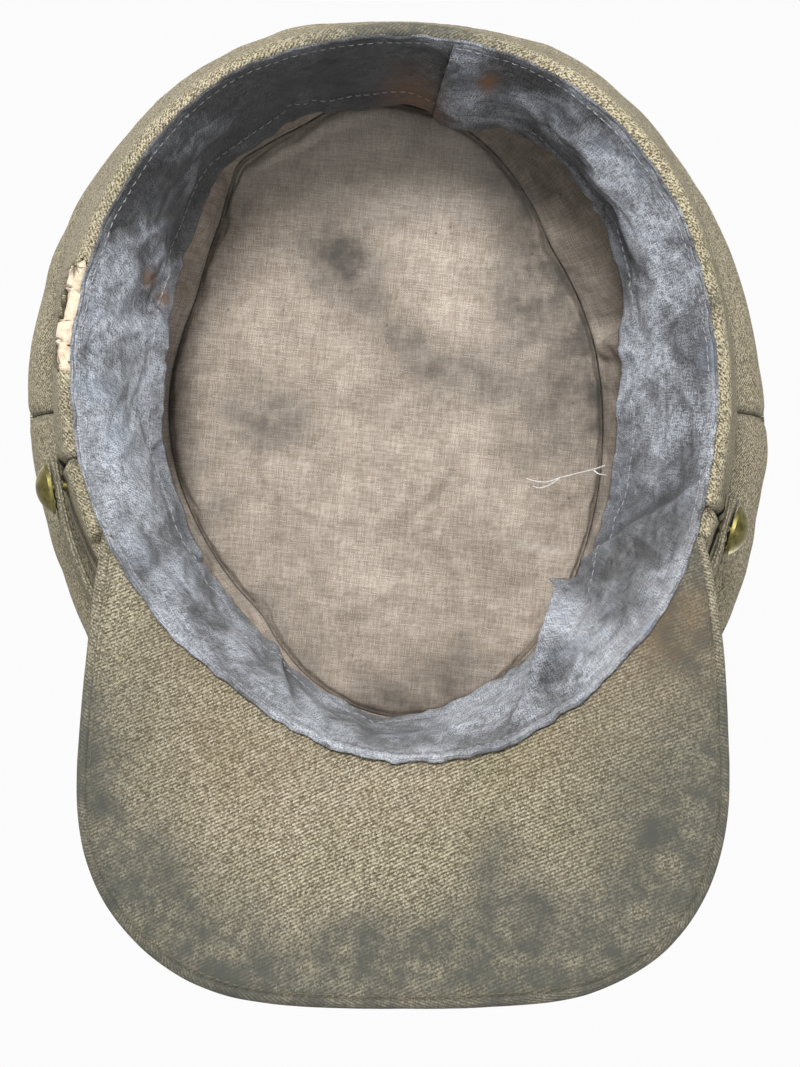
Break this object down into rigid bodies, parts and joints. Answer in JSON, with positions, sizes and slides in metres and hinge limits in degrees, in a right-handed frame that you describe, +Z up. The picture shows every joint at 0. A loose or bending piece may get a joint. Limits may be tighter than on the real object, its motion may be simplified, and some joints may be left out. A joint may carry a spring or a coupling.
{
  "type": "military peaked cap",
  "caption": "Worn cloth-covered military peaked cap with a stiffened band, flared crown, sewn cloth peak, cotton sweatband, lining and a chin strap held by brass side buttons.",
  "frame": {"origin": "centre of the head opening, in the plane of the band's lower edge", "axes": "+Z up through the crown, -Y forward over the peak, +X to the wearer's left"},
  "size_m": [0.238, 0.282, 0.1145],
  "materials": {
    "wool_twill": "olive-khaki melange wool twill, worn",
    "crown_canvas": "unbleached linen canvas",
    "pasteboard": "cream pasteboard, cracked",
    "sweatband_cotton": "grey-blue fine cotton twill, creased",
    "lining_cotton": "beige plain-weave cotton, soiled",
    "button_brass": "dull olive brass",
    "ring_steel": "dull wire",
    "washer_leather": "brown leather"
  },
  "bodies": {
    "cap": {"crown_top_cloth": "wool_twill", "crown_quarter_rear_left": "wool_twill", "crown_quarter_rear_right": "wool_twill", "crown_quarter_front_right": "wool_twill", "crown_quarter_front_left": "wool_twill", "band_cloth_front": "wool_twill", "band_cloth_rear": "wool_twill", "peak_upper_cloth": "wool_twill", "peak_under_cloth": "wool_twill", "crown_canvas": "crown_canvas", "band_stiffener": "pasteboard", "peak_board": "pasteboard", "sweatband": "sweatband_cotton", "lining_top": "lining_cotton", "lining_side_left": "lining_cotton", "lining_side_right": "lining_cotton", "button_washer_left": "washer_leather", "button_washer_right": "washer_leather"},
    "chin_strap": {"chin_strap_inner_cloth": "wool_twill", "chin_strap_outer_cloth": "wool_twill"},
    "button_left": {"button_dome_left": "button_brass", "button_back_left": "button_brass", "button_ring_left": "ring_steel"},
    "button_right": {"button_dome_right": "button_brass", "button_back_right": "button_brass", "button_ring_right": "ring_steel"}
  },
  "joints": [
    {"name": "strap_swing", "type": "hinge", "parent": "cap", "child": "chin_strap", "pos_m": [0.00147, -0.02894, 0.02139], "axis": [-0.9981, -0.0618, 0], "range_deg": [0, 7]},
    {"name": "left_button_turn", "type": "hinge", "parent": "cap", "child": "button_left", "pos_m": [0.09576, -0.02311, 0.02139], "axis": [0.9445, -0.1875, -0.2696], "continuous": true},
    {"name": "right_button_turn", "type": "hinge", "parent": "cap", "child": "button_right", "pos_m": [-0.09281, -0.03478, 0.02139], "axis": [-0.9202, -0.2837, -0.2696], "continuous": true}
  ]
}
